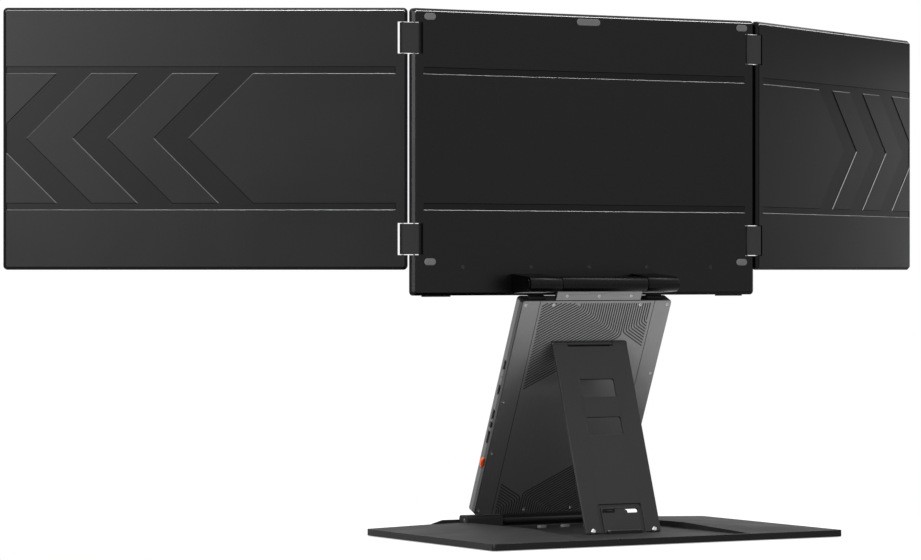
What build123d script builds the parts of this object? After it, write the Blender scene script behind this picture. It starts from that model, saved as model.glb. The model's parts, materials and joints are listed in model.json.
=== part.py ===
from build123d import *
from math import atan2, cos, degrees, hypot, radians, sin, tan

# Triple-screen laptop extender: a weighted base, an electronics housing that leans back on a
# strut, and three 14-inch screens on a tilt barrel. The side screens hang on two-axis hinges.
#
# Millimetres. +Z is up, the displays face -Y, the origin is the centre of the base's underside.
# "right" and "left" are the user's, who sits in front of the displays: right is +X.

# ---- screens ---------------------------------------------------------------------------------
display_width = 301.6        # active area of a 14-inch 16:10 panel
display_height = 188.5
module_border = 0.8          # glass beyond the active area
top_bezel = 8.8
wing_bottom_bezel = 8.8
hinge_bezel = 10.8           # beside the hinges
wing_outer_bezel = 5.6
wing_thickness = 5.3
center_width = 324.4
center_height = 226.5
center_thickness = 7.4
screen_top = 419.8           # height of the top edges
center_rear_gap = 25.3       # rear face in front of the tilt axis
screen_corner = 3.5
rear_bevel = 2.4
rear_wall = 1.2
side_wall = 3.0
bezel_lip = 1.2              # wall outside the bezel
bezel_thickness = 0.6
cell_thickness = 0.9
backlight_thickness = 1.9
board_thickness = 0.7
driver_board_inset = 31.6    # from the sides of the module
driver_board_height = 12
driver_board_rise = 4        # above the lower edge of the module
bumper_proud = 1.1           # rear bumpers, which the housing meets when the screens fold back
bumper_z = (220, 413.4)
bumper_xs = (-147, 149)
bumper_sizes = ((10.2, 5.4), (21.8, 5.4))
foot_pad_x = 139
foot_pad_inset = 2.9         # from the display face
foot_pad_size = (26, 3.4)
foot_pad_height = 1
center_screw_xs = (-117, -53.8, 1.3, 56.1, 118.3)
center_screw_rise = 22.7     # above the centre screen's lower edge
edge_relief = (2.3, 0.9)     # bevel on the front edges that the folded screens pass

wing_width = hinge_bezel + display_width + wing_outer_bezel
wing_height = top_bezel + display_height + wing_bottom_bezel
module_width = display_width + 2 * module_border
module_height = display_height + 2 * module_border
display_mid_z = screen_top - top_bezel - display_height / 2
cell_depth = bezel_thickness
backlight_depth = cell_depth + cell_thickness
board_depth = backlight_depth + backlight_thickness
stack_depth = board_depth + board_thickness

# relief on the rear covers, measured down from the top edge and out from the hinged edge
relief_depth = 0.5
relief_bevel = 0.4
edge_tolerance = 0.0001
groove_tops = (46.7, 153.9)
groove_width = 4.9
groove_hinge_margin = 9.9
groove_outer_margin = 3
chevron_start = 121.5
chevron_pitch = 63.6
chevron_band = 26.7
chevron_count = 3
finger_notch_length = 39
finger_notch_height = 1.6
finger_notch_depth = 1.6

# ---- two-axis screen hinges ------------------------------------------------------------------
fold_angle = 30              # each side screen, towards the user, as it stands
link_angle = 4               # the part of that fold made by the link block
pin_spacing = 10
pin_inset = 4                # pin axis from the panel edge
pin_depth = 1.8              # pin axis behind the display face
pin_radius = 0.8
pin_running_gap = 0.05
link_height = 24
link_overhangs = (3, 2)      # block beyond the centre screen's pin and the side screen's pin
link_swing_gaps = (2, 1.8)   # clear gap beyond the block's ends, inside the panels
link_rear_rounds = (2.9, 1.8)
link_front_round = 0.8
link_side_gap = 0.6          # above and below the block
link_mid_depths = (23.45, 181.9)   # middles of the blocks below the top edge
lug_height = 4.5
lug_width = 7.2
lug_edge_gap = 1.6
lug_thickness = 2.8
hinge_boss_skin = 1.5
link_relief_inset = 1.3
link_relief_slope = 1.6
link_relief_height = 2.0

# ---- tilt barrel -----------------------------------------------------------------------------
tilt_reach = 92.1            # tilt axis behind the base hinge
tilt_z = 202.2
barrel_radius = 6
barrel_mid_x = 2.3
shaft_radius = 3
shaft_running_gap = 0.05
tube_half_length = 40
barrel_gap = 0.8
knuckle_end = 70
arm_top_z = 210.5
arm_bottom_z = 195
arm_web_inset = 2.5          # webs clear the housing's bracket
sleeve_wall = 1.2
end_cap_thickness = 1.2
end_cap_radius = 4.6
arm_peg_radius = 3
arm_peg_xs = (50.3, 66.3, -45.7, -61.7)
arm_peg_z = 202

# ---- housing ---------------------------------------------------------------------------------
housing_lean = 24            # back from upright
base_hinge_inset = 10.5      # from the base's front edge
base_hinge_z = 10
housing_half_width = 70.7
housing_bottom = 5.7           # along the housing from the base hinge axis
housing_top = 197.2
housing_rear = 2.2           # rear face behind the base hinge axis
housing_thickness = 10.4
housing_corner = 3
tray_edge_round = 1
housing_wall = 1.6
cover_thickness = 2.2
board_size = (133, 150)
board_middle = 96
main_board_thickness = 1.2
board_cover_gap = 0.4        # between the board and the rear cover
trim_line_x = 54.1
trim_line_width = 0.5
trim_line_depth = 0.35
screw_head_radius = 1.5
screw_head_height = 0.8
screw_shank_radius = 0.7
housing_screw_length = 6
board_post_radius = 2.2
board_post_inset = (14.5, 18)
housing_screw_margin = 3.7   # from the housing's sides
housing_screw_end_margin = 4.2
top_screw_x = 40.9
side_screws = ((-1, 107.4), (-1, 61.3), (1, 131.3), (1, 61.3))
bottom_screw_xs = (-24.3, 20.1)
bracket_screw_xs = (-30.4, 0, 30.4)
bracket_screw_rise = 3.6     # above the housing
screw_boss_radius = 2.4
screw_boss_gap = 0.2         # between the boards' holes and the screw bosses
bracket_top = 211            # along the housing
bracket_thickness = 3
lower_barrel_radius = 3.2
lower_shaft_radius = 1.5
lower_plate_bottom = 1.5     # along the housing from the base hinge axis
processor_x = 10
processor_size = 16
processor_pitch = 34
chip_places = ((-28, 34), (-28, -34), (40, -12), (40, 16))
chip_size = (8, 6)
spreader_size = (26, 92)
chip_height = 1
switch_depth = 3.2
switch_gap = 0.1
grommet_x = 55.7
grommet_size = (15, 4)
grommet_height = 1.7
grommet_inset = 3.4          # from the housing's front face

# engraved traces on the rear cover: they rise from a side line, then turn along the housing
trace_pitch = 2.18
trace_width = 1.05
trace_depth = 0.35
trace_bend_radius = 4
trace_angle = 30
trace_turn = (28.6, 165.3)   # where the lowest long trace turns
trace_small_turn = (30.6, 168.6)
trace_side_x = 51.6
trace_top = 194.5
trace_center = 94.9          # the lower field is the upper one turned half round this point

# sockets on the right edge of the housing, as places along it
usb_c_places = (138, 116, 94)
usb_c_width = 8.9
usb_c_height = 3.2
mini_hdmi_place = 74
mini_hdmi_width = 11.2
mini_hdmi_height = 3.2
socket_length = 7
socket_wall = 0.3
socket_clearance = 0.1
socket_inset = 0.4           # mouth of a socket behind the housing's edge
socket_back = 0.5
tongue_length = 5.2
tongue_thickness = 0.7
usb_c_tongue_width = 6.7
mini_hdmi_tongue_width = 8
reset_hole_place = 127.5
reset_hole_radius = 0.6
button_place = 85
button_length = 4.6
button_height = 2.2
button_proud = 0.9
button_gap = 0.15
button_travel = 0.5
dial_place = 51
dial_radius = 6.1
dial_proud = 2
dial_thickness = 2.6
dial_gap = 0.3
dial_axle_radius = 1

# ---- strut -----------------------------------------------------------------------------------
strut_pivot_along = 159.5    # along the housing
strut_pivot_off = 1.45       # behind the housing's rear face
strut_foot_reach = 119.5     # foot behind the base hinge
strut_foot_z = 4.6
strut_half_width = 35
strut_thickness = 2.2
strut_curl_radius = 1.6
strut_pin_radius = 0.8
strut_groove_gap = 0.3
strut_notch_half = 21
strut_notch_drop = 1
strut_window_half = 16.6
strut_windows = ((30.3, 45.1), (61.9, 77.3))
strut_slot_x = 10.8
strut_slot_place = 140.3
strut_slot_size = (12.4, 3.4)
tab_half_width = 21
tab_top = 134.5
tab_groove_width = 3.5
tab_top_groove_width = 2.8
tab_round = 3
tab_groove_depth = 1.2
stud_x = 28.7
stud_place = 156.6
stud_radius = 2.2
stud_height = 1.6
stud_round = 1.4

# ---- base ------------------------------------------------------------------------------------
base_width = 324.4
base_depth = 202
base_corner = 3
base_rim_z = 5.6
ridge_x = 74
ridge_y = 4
ridge_z = 9.2
ridge_front_z = 8.1
pocket_floor_z = 4.2
pocket_rear_margin = 5
base_underside_z = 0.4
base_wall = 1.4
mat_thickness = 0.8
mat_inset = 6
plate_thickness = 1.2
rim_notch_x = 49
rim_notch_width = 2
ballast_thickness = 1.6
hinge_block_inner = 43.5
hinge_block_outer = 77
hinge_block_reach = 4.9      # behind the base hinge axis
hinge_block_top_z = 14.2
hinge_block_round = 3
bracket_side_gap = 0.5
bridge_width = 3.4
bridge_top_z = 7
front_rail_half = 109
front_rail_top_half = 92
front_rail_width = 2
front_rail_top_z = 10.4
foot_stop_half = 15.5
foot_stop_width = 3.5
foot_stop_gap = 0.05
foot_stop_top_z = 7
pocket_bumper_xs = (-22, 0, 22)
pocket_bumper_reach = 31     # behind the base hinge axis
pocket_bumper_size = (8, 5)
pocket_bumper_height = 2
ballast_width = 70
ballast_end_margin = 26
ballast_inset = 3            # from the pocket's wall
ballast_y = -3


# ---- frames of the moving groups -------------------------------------------------------------
lean = radians(housing_lean)
housing_along = Vector(0, sin(lean), cos(lean))
housing_normal = Vector(0, cos(lean), -sin(lean))
base_hinge_y = base_hinge_inset - base_depth / 2
tilt_y = base_hinge_y + tilt_reach
center_rear_y = tilt_y - center_rear_gap
center_front_y = center_rear_y - center_thickness
base_hinge = Vector(0, base_hinge_y, base_hinge_z)
tilt_axis = Vector(0, tilt_y, tilt_z)
strut_pivot = base_hinge + housing_along * strut_pivot_along
strut_pivot += housing_normal * (housing_rear + strut_pivot_off)
strut_foot = Vector(0, base_hinge_y + strut_foot_reach, strut_foot_z)
strut_length = (strut_foot - strut_pivot).length
strut_down = (strut_foot - strut_pivot).normalized()
strut_normal = Vector(0, -strut_down.Z, strut_down.Y)


def housing_plane(off):
    """Plane parallel to the housing's rear face: x to the left of the user, y along the housing."""
    return Plane(origin=base_hinge + housing_normal * off, x_dir=(-1, 0, 0), z_dir=housing_normal)


def strut_plane(off):
    """Plane parallel to the strut: y runs up from its pivot."""
    return Plane(origin=strut_pivot + strut_normal * off, x_dir=(-1, 0, 0), z_dir=strut_normal)


def finish(builder, name):
    """Label a finished sub-part and write it."""
    builder.part.label = name
    export_step(builder.part, f"parts/{name}.step")


def rod(axis_point, start_x, end_x, radius, hole_radius=0, mode=Mode.ADD):
    """Round bar or tube along X about a point of the YZ plane."""
    with BuildSketch(Plane.YZ.offset(start_x)) as section:
        with Locations((axis_point.Y, axis_point.Z)):
            Circle(radius)
            if hole_radius:
                Circle(hole_radius, mode=Mode.SUBTRACT)
    extrude(section.sketch, amount=end_x - start_x, mode=mode)


def countersunk(plane, places, depth, mode):
    """Screws, or the holes that they fill: heads flush with the plane, shanks below it."""
    for radius, length in ((screw_head_radius, screw_head_height), (screw_shank_radius, depth)):
        with BuildSketch(plane) as section:
            with Locations(*places):
                Circle(radius)
        extrude(section.sketch, amount=-length, mode=mode)


# ---- hinge geometry, seen from above ---------------------------------------------------------
def inner_pin(side):
    """Axis of the pin in the centre screen's edge."""
    return Vector(side * (center_width / 2 - pin_inset), center_front_y + pin_depth, 0)


def outer_pin(side):
    """Axis of the pin in the side screen's edge."""
    swing = radians(link_angle)
    return inner_pin(side) + Vector(side * cos(swing), -sin(swing), 0) * pin_spacing


class Screen:
    """Place and size of one screen. Its planes have x to the viewer's right from behind, y up."""

    def __init__(self, name, origin, across, rear, width, height, thickness, mid_x, hinge_edges):
        self.name = name
        self.origin = origin
        self.across = across
        self.rear = rear
        self.width = width
        self.height = height
        self.thickness = thickness
        self.middle = (mid_x, screen_top - height / 2)
        self.hinge_edges = hinge_edges
        self.display_x = 0 if len(hinge_edges) == 2 else self.from_edge(hinge_bezel + display_width / 2)

    def plane(self, depth):
        return Plane(origin=self.origin + self.rear * depth, x_dir=self.across, z_dir=self.rear)

    def from_edge(self, inset, edge=0):
        """Local x of a point that lies inset from a hinged edge."""
        edge_x, outward = self.hinge_edges[edge]
        return edge_x - outward * inset

    def beside_hinges(self, inset, offsets):
        """Points at an inset from every hinged edge, offset up and down from each link block."""
        return [
            (self.from_edge(inset, edge), screen_top - depth + offset)
            for edge in range(len(self.hinge_edges))
            for depth in link_mid_depths
            for offset in offsets
        ]


def side_screen(name, side):
    fold = radians(fold_angle)
    outward = Vector(side * cos(fold), -sin(fold), 0)
    rear = Vector(side * sin(fold), cos(fold), 0)
    origin = outer_pin(side) - outward * pin_inset - rear * pin_depth
    return Screen(name, origin, outward * -side, rear, wing_width, wing_height, wing_thickness,
                  -side * wing_width / 2, [(0, side)])


center = Screen("center", Vector(0, center_front_y, 0), Vector(-1, 0, 0), Vector(0, 1, 0), center_width,
                center_height, center_thickness, 0, [(-center_width / 2, -1), (center_width / 2, 1)])
right = side_screen("right", 1)
left = side_screen("left", -1)

cutout_height = link_height + 2 * link_side_gap
center_cutout, wing_cutout = [pin_inset + overhang + gap
                              for overhang, gap in zip(link_overhangs, link_swing_gaps)]
lug_offset = cutout_height / 2 + lug_height / 2
lug_inset = lug_edge_gap + lug_width / 2
boss_height = cutout_height + 2 * lug_height + 2 * hinge_boss_skin
boss_depth = hinge_bezel - module_border
plate_depth = stack_depth
plate_thickness_center = center_thickness - rear_wall - plate_depth


def hinge_openings(screen, depth):
    """Cuts the see-through notches in which the link blocks swing."""
    inset = center_cutout if screen is center else wing_cutout
    with BuildSketch(screen.plane(0)) as notches:
        with Locations(*screen.beside_hinges(inset / 2, (0,))):
            Rectangle(inset, cutout_height)
    extrude(notches.sketch, amount=depth, mode=Mode.SUBTRACT)


def fold_relief():
    """Bevels the centre screen's front edges, past which the folded side screens turn."""
    width, depth = edge_relief
    beyond = 1
    with BuildSketch(Plane.XY.offset(screen_top - center_height)) as wedges:
        for side in (-1, 1):
            inner = side * (center_width / 2 - width)
            outer = side * (center_width / 2 + beyond)
            with BuildLine() as outline:
                Polyline((inner, center_front_y), (outer, center_front_y),
                         (outer, center_front_y + depth * (width + beyond) / width), close=True)
            make_face(outline.edges())
    extrude(wedges.sketch, amount=center_height, mode=Mode.SUBTRACT)


def rear_relief(screen):
    """Recessed lines across the rear cover and, on a side screen, bands of chevrons."""
    two_edges = len(screen.hinge_edges) == 2
    outer_margin = groove_hinge_margin if two_edges else groove_outer_margin
    length = screen.width - groove_hinge_margin - outer_margin
    mid_x = screen.from_edge(groove_hinge_margin + length / 2)
    rise = (groove_tops[1] - groove_tops[0] - groove_width) / 2
    mid_z = screen_top - groove_tops[0] - groove_width - rise
    with BuildSketch(screen.plane(screen.thickness)) as relief:
        with Locations(*[(mid_x, screen_top - top - groove_width / 2) for top in groove_tops]):
            Rectangle(length, groove_width)
        if not two_edges:
            for band in range(chevron_count):
                near = chevron_start + band * chevron_pitch
                far = near + chevron_band
                outline = [(near, rise), (far, rise), (far + rise, 0), (far, -rise), (near, -rise),
                           (near + rise, 0)]
                with BuildLine():
                    Polyline(*[(screen.from_edge(u), mid_z + v) for u, v in outline], close=True)
                make_face()
            with Locations((screen.from_edge(screen.width - outer_margin + rise / 2), mid_z)):
                Rectangle(rise, 2 * rise, mode=Mode.SUBTRACT)
    extrude(relief.sketch, amount=-relief_depth, mode=Mode.SUBTRACT)


def finger_notch(screen):
    """Scoop behind the top edge that a finger catches to unfold the screen."""
    with BuildSketch(screen.plane(screen.thickness - finger_notch_depth)) as scoop:
        with Locations((screen.middle[0], screen_top)):
            SlotOverall(finger_notch_length, 2 * finger_notch_height)
    extrude(scoop.sketch, amount=finger_notch_depth, mode=Mode.SUBTRACT)


def make_rear_cover(screen):
    """Tray with a bevelled back, bosses round the hinge notches and pockets for the steel lugs."""
    with BuildPart() as cover:
        with BuildSketch(screen.plane(0)):
            with Locations(screen.middle):
                RectangleRounded(screen.width, screen.height, screen_corner)
        extrude(amount=screen.thickness)
        back = cover.faces().sort_by(Axis((0, 0, 0), screen.rear))[-1]
        chamfer(back.edges(), length=rear_bevel)
        with BuildSketch(screen.plane(bezel_thickness)):
            with Locations(screen.middle):
                RectangleRounded(screen.width - 2 * side_wall, screen.height - 2 * side_wall, 1)
            with Locations(*screen.beside_hinges(boss_depth / 2, (0,))):
                Rectangle(boss_depth, boss_height, mode=Mode.SUBTRACT)
        extrude(amount=screen.thickness - rear_wall - bezel_thickness, mode=Mode.SUBTRACT)
        with BuildSketch(screen.plane(0)):
            with Locations(screen.middle):
                RectangleRounded(screen.width - 2 * bezel_lip, screen.height - 2 * bezel_lip,
                                 screen_corner - bezel_lip)
        extrude(amount=bezel_thickness, mode=Mode.SUBTRACT)
        with BuildSketch(screen.plane(bezel_thickness)):
            with Locations(*screen.beside_hinges(lug_inset, (-lug_offset, lug_offset))):
                Rectangle(lug_width, lug_height)
        extrude(amount=lug_thickness, mode=Mode.SUBTRACT)
        rear_relief(screen)
        raised = cover.faces().group_by(Axis((0, 0, 0), screen.rear))[-1]
        outline = max(raised, key=lambda face: face.outer_wire().length).outer_wire()
        outer = [edge.center() for edge in outline.edges()]
        relief_edges = [edge for edge in raised.edges()
                        if all((edge.center() - middle).length > edge_tolerance for middle in outer)]
        chamfer(relief_edges, length=relief_bevel)
        if screen is center:
            fold_relief()
            countersunk(screen.plane(screen.thickness), center_screw_places, rear_wall, Mode.SUBTRACT)
            with BuildSketch(screen.plane(screen.thickness - rear_wall)):
                with Locations(*arm_peg_places):
                    Circle(arm_peg_radius)
            extrude(amount=rear_wall, mode=Mode.SUBTRACT)
        else:
            finger_notch(screen)
        hinge_openings(screen, screen.thickness)
    finish(cover, f"{screen.name}_rear_cover")


def make_bezel(screen):
    """Front frame round the display."""
    with BuildPart() as bezel:
        with BuildSketch(screen.plane(0)):
            with Locations(screen.middle):
                RectangleRounded(screen.width - 2 * bezel_lip, screen.height - 2 * bezel_lip,
                                 screen_corner - bezel_lip)
            with Locations((screen.display_x, display_mid_z)):
                Rectangle(display_width, display_height, mode=Mode.SUBTRACT)
        extrude(amount=bezel_thickness)
        if screen is center:
            fold_relief()
        hinge_openings(screen, bezel_thickness)
    finish(bezel, f"{screen.name}_bezel")


def make_display_layers(screen):
    """Glass cell, backlight and driver board, stacked behind the bezel."""
    layers = ((f"{screen.name}_lcd_cell", cell_depth, cell_thickness),
              (f"{screen.name}_backlight", backlight_depth, backlight_thickness))
    for name, depth, thickness in layers:
        with BuildPart() as layer:
            with BuildSketch(screen.plane(depth)):
                with Locations((screen.display_x, display_mid_z)):
                    Rectangle(module_width, module_height)
            extrude(amount=thickness)
        finish(layer, name)
    with BuildPart() as driver_board:
        board_z = display_mid_z - module_height / 2 + driver_board_rise + driver_board_height / 2
        with BuildSketch(screen.plane(board_depth)):
            with Locations((screen.display_x, board_z)):
                Rectangle(module_width - 2 * driver_board_inset, driver_board_height)
        extrude(amount=board_thickness)
    finish(driver_board, f"{screen.name}_driver_board")


def make_hinge_hardware(screen):
    """Steel lugs above and below every notch, and the pins that they hold."""
    pins = screen.beside_hinges(pin_inset, (0,))
    pin_length = cutout_height + 2 * lug_height
    with BuildPart() as lugs:
        with BuildSketch(screen.plane(bezel_thickness)):
            with Locations(*screen.beside_hinges(lug_inset, (-lug_offset, lug_offset))):
                Rectangle(lug_width, lug_height)
        extrude(amount=lug_thickness)
        for x, z in pins:
            foot = screen.plane(pin_depth).from_local_coords((x, z - pin_length / 2, 0))
            with BuildSketch(Plane(origin=foot)):
                Circle(pin_radius)
            extrude(amount=pin_length, mode=Mode.SUBTRACT)
    finish(lugs, f"{screen.name}_hinge_lugs")
    with BuildPart() as hinge_pins:
        for x, z in pins:
            foot = screen.plane(pin_depth).from_local_coords((x, z - pin_length / 2, 0))
            with BuildSketch(Plane(origin=foot)):
                Circle(pin_radius)
            extrude(amount=pin_length)
    finish(hinge_pins, f"{screen.name}_hinge_pins")


def make_hinge_links(name, side):
    """Two dog-bone blocks, one above the other, that turn on both rows of pins."""
    swing = radians(link_angle)
    rear = wing_thickness - pin_depth
    far = pin_spacing
    near_overhang, far_overhang = link_overhangs
    outline = [
        (-near_overhang, -pin_depth),
        (link_relief_inset, -pin_depth),
        (link_relief_inset + link_relief_slope, link_relief_height - pin_depth),
        (far - link_relief_inset - link_relief_slope, link_relief_height - pin_depth),
        (far - link_relief_inset, -pin_depth),
        (far + far_overhang, -pin_depth),
        (far + far_overhang, rear),
        (-near_overhang, rear),
    ]
    with BuildPart() as links:
        for depth in link_mid_depths:
            foot = inner_pin(side) + Vector(0, 0, screen_top - depth - link_height / 2)
            with BuildSketch(Plane(origin=foot, x_dir=(side * cos(swing), -sin(swing), 0))) as block:
                with BuildLine():
                    Polyline(*[(x, side * y) for x, y in outline], close=True)
                make_face()
                ends = block.vertices().group_by(Axis(foot, (side * cos(swing), -sin(swing), 0)))
                rearward = Axis(foot, (side * sin(swing), cos(swing), 0))
                near_end, far_end = [end.sort_by(rearward) for end in (ends[0], ends[-1])]
                fillet([near_end[0], far_end[0]], radius=link_front_round)
                fillet(near_end[-1], radius=link_rear_rounds[0])
                fillet(far_end[-1], radius=link_rear_rounds[1])
                with Locations((0, 0), (pin_spacing, 0)):
                    Circle(pin_radius + pin_running_gap, mode=Mode.SUBTRACT)
            extrude(amount=link_height)
    finish(links, f"{name}_hinge_links")


center_screw_places = [(x, screen_top - center_height + center_screw_rise) for x in center_screw_xs]
arm_peg_places = [(-x, arm_peg_z) for x in arm_peg_xs]

for panel in (center, right, left):
    make_rear_cover(panel)
    make_bezel(panel)
    make_display_layers(panel)
    make_hinge_hardware(panel)
make_hinge_links("right", 1)
make_hinge_links("left", -1)

# ---- centre screen: chassis plate, arms, trim ------------------------------------------------
plate_margin = 3
plate_window = (118, 62)
plate_ribs = (18, 14)
plate_window_rise = 12
with BuildPart() as chassis_plate:
    plate_width = center_width - 2 * boss_depth - 2 * plate_margin
    plate_height = center_height - 2 * side_wall - 2 * plate_margin
    with BuildSketch(center.plane(plate_depth)):
        with Locations(center.middle):
            RectangleRounded(plate_width, plate_height, 4)
        with Locations((0, center.middle[1] + plate_window_rise)):
            with GridLocations(plate_window[0] + plate_ribs[0], plate_window[1] + plate_ribs[1], 2, 2):
                RectangleRounded(*plate_window, 5, mode=Mode.SUBTRACT)
    extrude(amount=plate_thickness_center)
    with BuildSketch(center.plane(center_thickness - rear_wall)):
        with Locations(*center_screw_places):
            Circle(screw_shank_radius)
    extrude(amount=-plate_thickness_center, mode=Mode.SUBTRACT)
finish(chassis_plate, "center_chassis_plate")

with BuildPart() as center_screws:
    countersunk(center.plane(center_thickness), center_screw_places, rear_wall + plate_thickness_center,
                Mode.ADD)
finish(center_screws, "center_cover_screws")

def barrel_span(side, near, far):
    """Start and end along X of a piece of the barrel, given from the barrel's middle."""
    return sorted((barrel_mid_x + side * near, barrel_mid_x + side * far))


arm_inner_x = tube_half_length + barrel_gap
sleeve_radius = shaft_radius + shaft_running_gap + sleeve_wall
with BuildPart() as tilt_arms:
    for side in (-1, 1):
        start, end = barrel_span(side, arm_inner_x + arm_web_inset, knuckle_end)
        with BuildSketch(Plane.YZ.offset(start)):
            with BuildLine():
                Polyline((center_rear_y, arm_bottom_z), (center_rear_y, arm_top_z),
                         (tilt_y, tilt_z + barrel_radius), (tilt_y, tilt_z - barrel_radius), close=True)
            make_face()
        extrude(amount=end - start)
        start, end = barrel_span(side, arm_inner_x, knuckle_end)
        rod(tilt_axis, start, end, barrel_radius)
        rod(tilt_axis, start, end, sleeve_radius, mode=Mode.SUBTRACT)
    with BuildSketch(center.plane(center_thickness - rear_wall)):
        with Locations(*arm_peg_places):
            Circle(arm_peg_radius)
    extrude(amount=rear_wall)
finish(tilt_arms, "tilt_arms")

with BuildPart() as friction_sleeves:
    for side in (-1, 1):
        start, end = barrel_span(side, arm_inner_x, knuckle_end - end_cap_thickness)
        rod(tilt_axis, start, end, sleeve_radius, shaft_radius + shaft_running_gap)
finish(friction_sleeves, "tilt_friction_sleeves")

with BuildPart() as end_caps:
    for side in (-1, 1):
        start, end = barrel_span(side, knuckle_end - end_cap_thickness, knuckle_end)
        rod(tilt_axis, start, end, sleeve_radius)
        start, end = barrel_span(side, knuckle_end, knuckle_end + end_cap_thickness)
        rod(tilt_axis, start, end, end_cap_radius)
finish(end_caps, "tilt_end_caps")

with BuildPart() as rear_bumpers:
    with BuildSketch(center.plane(center_thickness)):
        with Locations(*[(x, z) for x in bumper_xs for z in bumper_z]):
            SlotOverall(*bumper_sizes[0])
        with Locations((0, bumper_z[1])):
            SlotOverall(*bumper_sizes[1])
    extrude(amount=bumper_proud)
    fillet(rear_bumpers.faces().sort_by(Axis.Y)[-5:].edges(), radius=0.6)
finish(rear_bumpers, "rear_bumpers")

with BuildPart() as bottom_pads:
    foot_pad_y = center_front_y + foot_pad_inset
    with BuildSketch(Plane.XY.offset(screen_top - center_height - foot_pad_height)):
        with Locations((-foot_pad_x, foot_pad_y), (foot_pad_x, foot_pad_y)):
            SlotOverall(*foot_pad_size)
    extrude(amount=foot_pad_height)
finish(bottom_pads, "center_bottom_pads")

# ---- housing ---------------------------------------------------------------------------------
housing_front = housing_rear - housing_thickness
housing_length = housing_top - housing_bottom
housing_middle = (0, (housing_top + housing_bottom) / 2)
seam = housing_rear - cover_thickness
tray_floor = housing_front + housing_wall
board_high = seam - board_cover_gap
board_low = board_high - main_board_thickness
socket_mid = board_low - usb_c_height / 2
edge_x = -housing_half_width          # the user's right edge in the housing's own planes
dial_x = edge_x - dial_proud + dial_radius
screw_side_x = housing_half_width - housing_screw_margin
housing_screw_places = [(x, housing_top - housing_screw_end_margin)
                        for x in (-screw_side_x, -top_screw_x, top_screw_x, screw_side_x)]
housing_screw_places += [(side * screw_side_x, place) for side, place in side_screws]
housing_screw_places += [(x, housing_bottom + housing_screw_margin)
                         for x in (-screw_side_x, *bottom_screw_xs, screw_side_x)]
bracket_screw_places = [(x, housing_top + bracket_screw_rise) for x in bracket_screw_xs]


def socket_cuts(gap):
    """Openings in the right wall for the sockets, the button and the dial."""
    places = [(place, usb_c_width, usb_c_height) for place in usb_c_places]
    places.append((mini_hdmi_place, mini_hdmi_width, mini_hdmi_height))
    for place, width, height in places:
        with BuildSketch(housing_plane(socket_mid - height / 2 - gap)) as opening:
            with Locations((edge_x + housing_wall, place)):
                Rectangle(4 * housing_wall, width + 2 * gap)
        extrude(opening.sketch, amount=height + 2 * gap, mode=Mode.SUBTRACT)
    with BuildSketch(housing_plane(socket_mid - button_height / 2 - button_gap)) as button_hole:
        with Locations((edge_x + housing_wall, button_place)):
            Rectangle(4 * housing_wall, button_length + 2 * button_gap)
    extrude(button_hole.sketch, amount=button_height + 2 * button_gap, mode=Mode.SUBTRACT)
    with BuildSketch(housing_plane(socket_mid - dial_thickness / 2 - dial_gap)) as dial_slot:
        with Locations((dial_x, dial_place)):
            Circle(dial_radius + dial_gap)
    extrude(dial_slot.sketch, amount=dial_thickness + 2 * dial_gap, mode=Mode.SUBTRACT)
    hole_middle = base_hinge + housing_along * reset_hole_place + housing_normal * socket_mid
    rod(hole_middle, housing_half_width - 2 * housing_wall, housing_half_width, reset_hole_radius,
        mode=Mode.SUBTRACT)


board_post_x, board_post_y = [size / 2 - inset for size, inset in zip(board_size, board_post_inset)]
board_posts = [(x, board_middle + y) for x in (-board_post_x, board_post_x)
               for y in (-board_post_y, board_post_y)]
with BuildPart() as housing_tray:
    with BuildSketch(housing_plane(housing_front)):
        with Locations(housing_middle):
            RectangleRounded(2 * housing_half_width, housing_length, housing_corner)
    extrude(amount=seam - housing_front)
    front_face = housing_tray.faces().sort_by(Axis((0, 0, 0), housing_normal))[0]
    fillet(front_face.edges(), radius=tray_edge_round)
    with BuildSketch(housing_plane(tray_floor)):
        with Locations(housing_middle):
            RectangleRounded(2 * (housing_half_width - housing_wall), housing_length - 2 * housing_wall, 1.4)
        with Locations(*housing_screw_places):
            Circle(screw_boss_radius, mode=Mode.SUBTRACT)
    extrude(amount=seam - tray_floor, mode=Mode.SUBTRACT)
    with BuildSketch(housing_plane(tray_floor)):
        with Locations(*board_posts):
            Circle(board_post_radius)
    extrude(amount=board_low - tray_floor)
    with BuildSketch(housing_plane(seam)):
        with Locations(*housing_screw_places):
            Circle(screw_shank_radius)
    extrude(amount=cover_thickness - housing_screw_length, mode=Mode.SUBTRACT)
    socket_cuts(socket_clearance)
finish(housing_tray, "housing_tray")


def trace_path(turn, start_x, offset, top):
    """Centre line of one trace: from a side line up to its turn, then along the housing."""
    slope = radians(trace_angle)
    direction = 1 if start_x < turn[0] else -1
    turn_x = turn[0] - direction * offset
    turn_y = turn[1] + offset * (1 - sin(slope)) / cos(slope)
    start = (start_x, turn_y - abs(turn_x - start_x) * tan(slope))
    if abs(turn_x - start_x) < 2 * trace_width:
        return [(turn_x, turn_y), (turn_x, top)]
    if turn_y < top - 0.75 * trace_bend_radius:
        return [start, (turn_x, turn_y), (turn_x, top)]
    if turn_y < top:
        return [start, (turn_x, turn_y)]
    end_x = start_x + direction * (top - start[1]) / tan(slope)
    return [start, (end_x, top)]


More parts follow.
